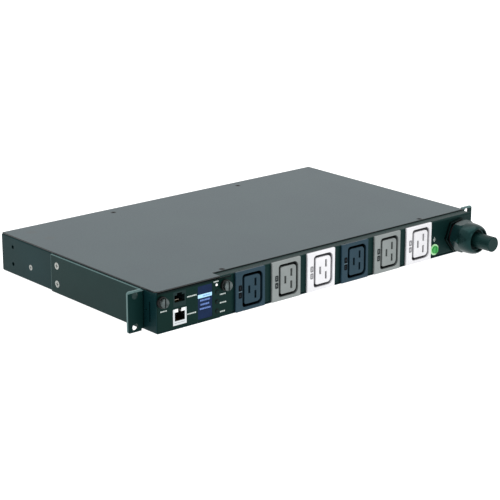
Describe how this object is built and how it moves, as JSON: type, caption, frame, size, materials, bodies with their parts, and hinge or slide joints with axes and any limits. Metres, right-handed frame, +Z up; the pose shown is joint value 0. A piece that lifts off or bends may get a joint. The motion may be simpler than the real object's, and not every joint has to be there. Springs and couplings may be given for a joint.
{
  "type": "rack power distribution unit",
  "caption": "Horizontal one-unit rack power distribution unit with coloured high-current outlets, a plug-in control module, rack ears and a cable gland.",
  "frame": {"origin": "on the underside, midway between the ears, in the plane where the ears meet the rack rails", "axes": "+X to the right seen from the front, +Y into the rack, +Z up"},
  "size_m": [0.4826, 0.3242, 0.043],
  "materials": {
    "case_paint": "fine textured powder coat",
    "faceplate_paint": "smooth satin coat",
    "bright_screw": "zinc plated",
    "dark_screw": "blackened",
    "galvanised_sheet": "galvanised",
    "outlet_blue": "moulded, satin",
    "outlet_grey": "moulded, satin",
    "outlet_white": "moulded, satin",
    "contact_metal": "stamped",
    "bar_metal": "stamped copper",
    "nickel": "turned and nickel plated",
    "ferrule_black": "moulded",
    "earth_green": "green coated",
    "plated_washer": "zinc plated",
    "gland_plastic": "moulded",
    "seal_rubber": "moulded",
    "cord_jacket": "extruded",
    "core_insulation": "extruded",
    "board_laminate": "laminate with green coat",
    "component_dark": "moulded",
    "connector_cream": "moulded",
    "jack_black": "moulded",
    "jack_white": "moulded",
    "light_lens": "clear moulded",
    "display_navy": "display film",
    "window_clear": "clear sheet",
    "button_grey": "moulded"
  },
  "bodies": {
    "case": {"base_chassis": "case_paint", "front_panel": "case_paint", "top_cover": "case_paint", "bay_wall": "galvanised_sheet", "rack_bracket_left": "case_paint", "rack_bracket_right": "case_paint", "bracket_screws": "bright_screw", "cover_screws": "dark_screw", "side_screw": "bright_screw", "outlet_contacts": "contact_metal", "return_bars": "bar_metal", "phase_bars": "bar_metal", "control_faceplate": "faceplate_paint", "module_carrier": "galvanised_sheet", "module_board": "board_laminate", "sensor_jack": "jack_black", "network_jack": "jack_white", "network_jack_insert": "jack_black", "jack_lights": "light_lens", "jack_contacts": "contact_metal", "display_module": "display_navy", "display_window": "window_clear", "display_board": "board_laminate", "status_light": "light_lens", "tact_switches": "component_dark", "thumbscrew_ferrules": "ferrule_black", "earth_screw": "earth_green", "earth_washer": "plated_washer", "gland_body": "gland_plastic", "gland_locknut": "gland_plastic", "gland_dome_nut": "gland_plastic", "gland_seal": "seal_rubber", "input_cord": "cord_jacket", "cord_cores": "core_insulation", "terminal_block": "connector_cream", "terminal_screws": "bright_screw", "bar_leads": "core_insulation", "current_transformers": "component_dark", "metering_board": "board_laminate", "supply_board": "board_laminate", "board_standoffs": "bright_screw", "board_screws": "bright_screw", "board_components": "component_dark", "module_plug": "connector_cream", "bay_socket": "connector_cream", "signal_cable": "component_dark", "outlet_1": "outlet_blue", "outlet_2": "outlet_grey", "outlet_3": "outlet_white", "outlet_4": "outlet_blue", "outlet_5": "outlet_grey", "outlet_6": "outlet_white", "blue_cores": "outlet_blue", "grey_cores": "outlet_grey", "white_cores": "outlet_white"},
    "scroll_button": {"scroll_button": "button_grey"},
    "select_button": {"select_button": "button_grey"},
    "menu_button": {"menu_button": "button_grey"},
    "thumbscrew_left": {"thumbscrew_left": "nickel"},
    "thumbscrew_right": {"thumbscrew_right": "nickel"}
  },
  "joints": [
    {"name": "scroll_press", "type": "slide", "parent": "case", "child": "scroll_button", "axis": [0, 1, 0], "range_m": [0, 0.0005], "stiffness_N_per_m": 2000},
    {"name": "select_press", "type": "slide", "parent": "case", "child": "select_button", "axis": [0, 1, 0], "range_m": [0, 0.0005], "stiffness_N_per_m": 2000},
    {"name": "menu_press", "type": "slide", "parent": "case", "child": "menu_button", "axis": [0, 1, 0], "range_m": [0, 0.0005], "stiffness_N_per_m": 2000},
    {"name": "left_thumbscrew_turn", "type": "hinge", "parent": "case", "child": "thumbscrew_left", "pos_m": [-0.2146, -0.0245, 0.0317], "axis": [0, 1, 0], "continuous": true},
    {"name": "right_thumbscrew_turn", "type": "hinge", "parent": "case", "child": "thumbscrew_right", "pos_m": [-0.1357, -0.0245, 0.0326], "axis": [0, 1, 0], "continuous": true}
  ]
}
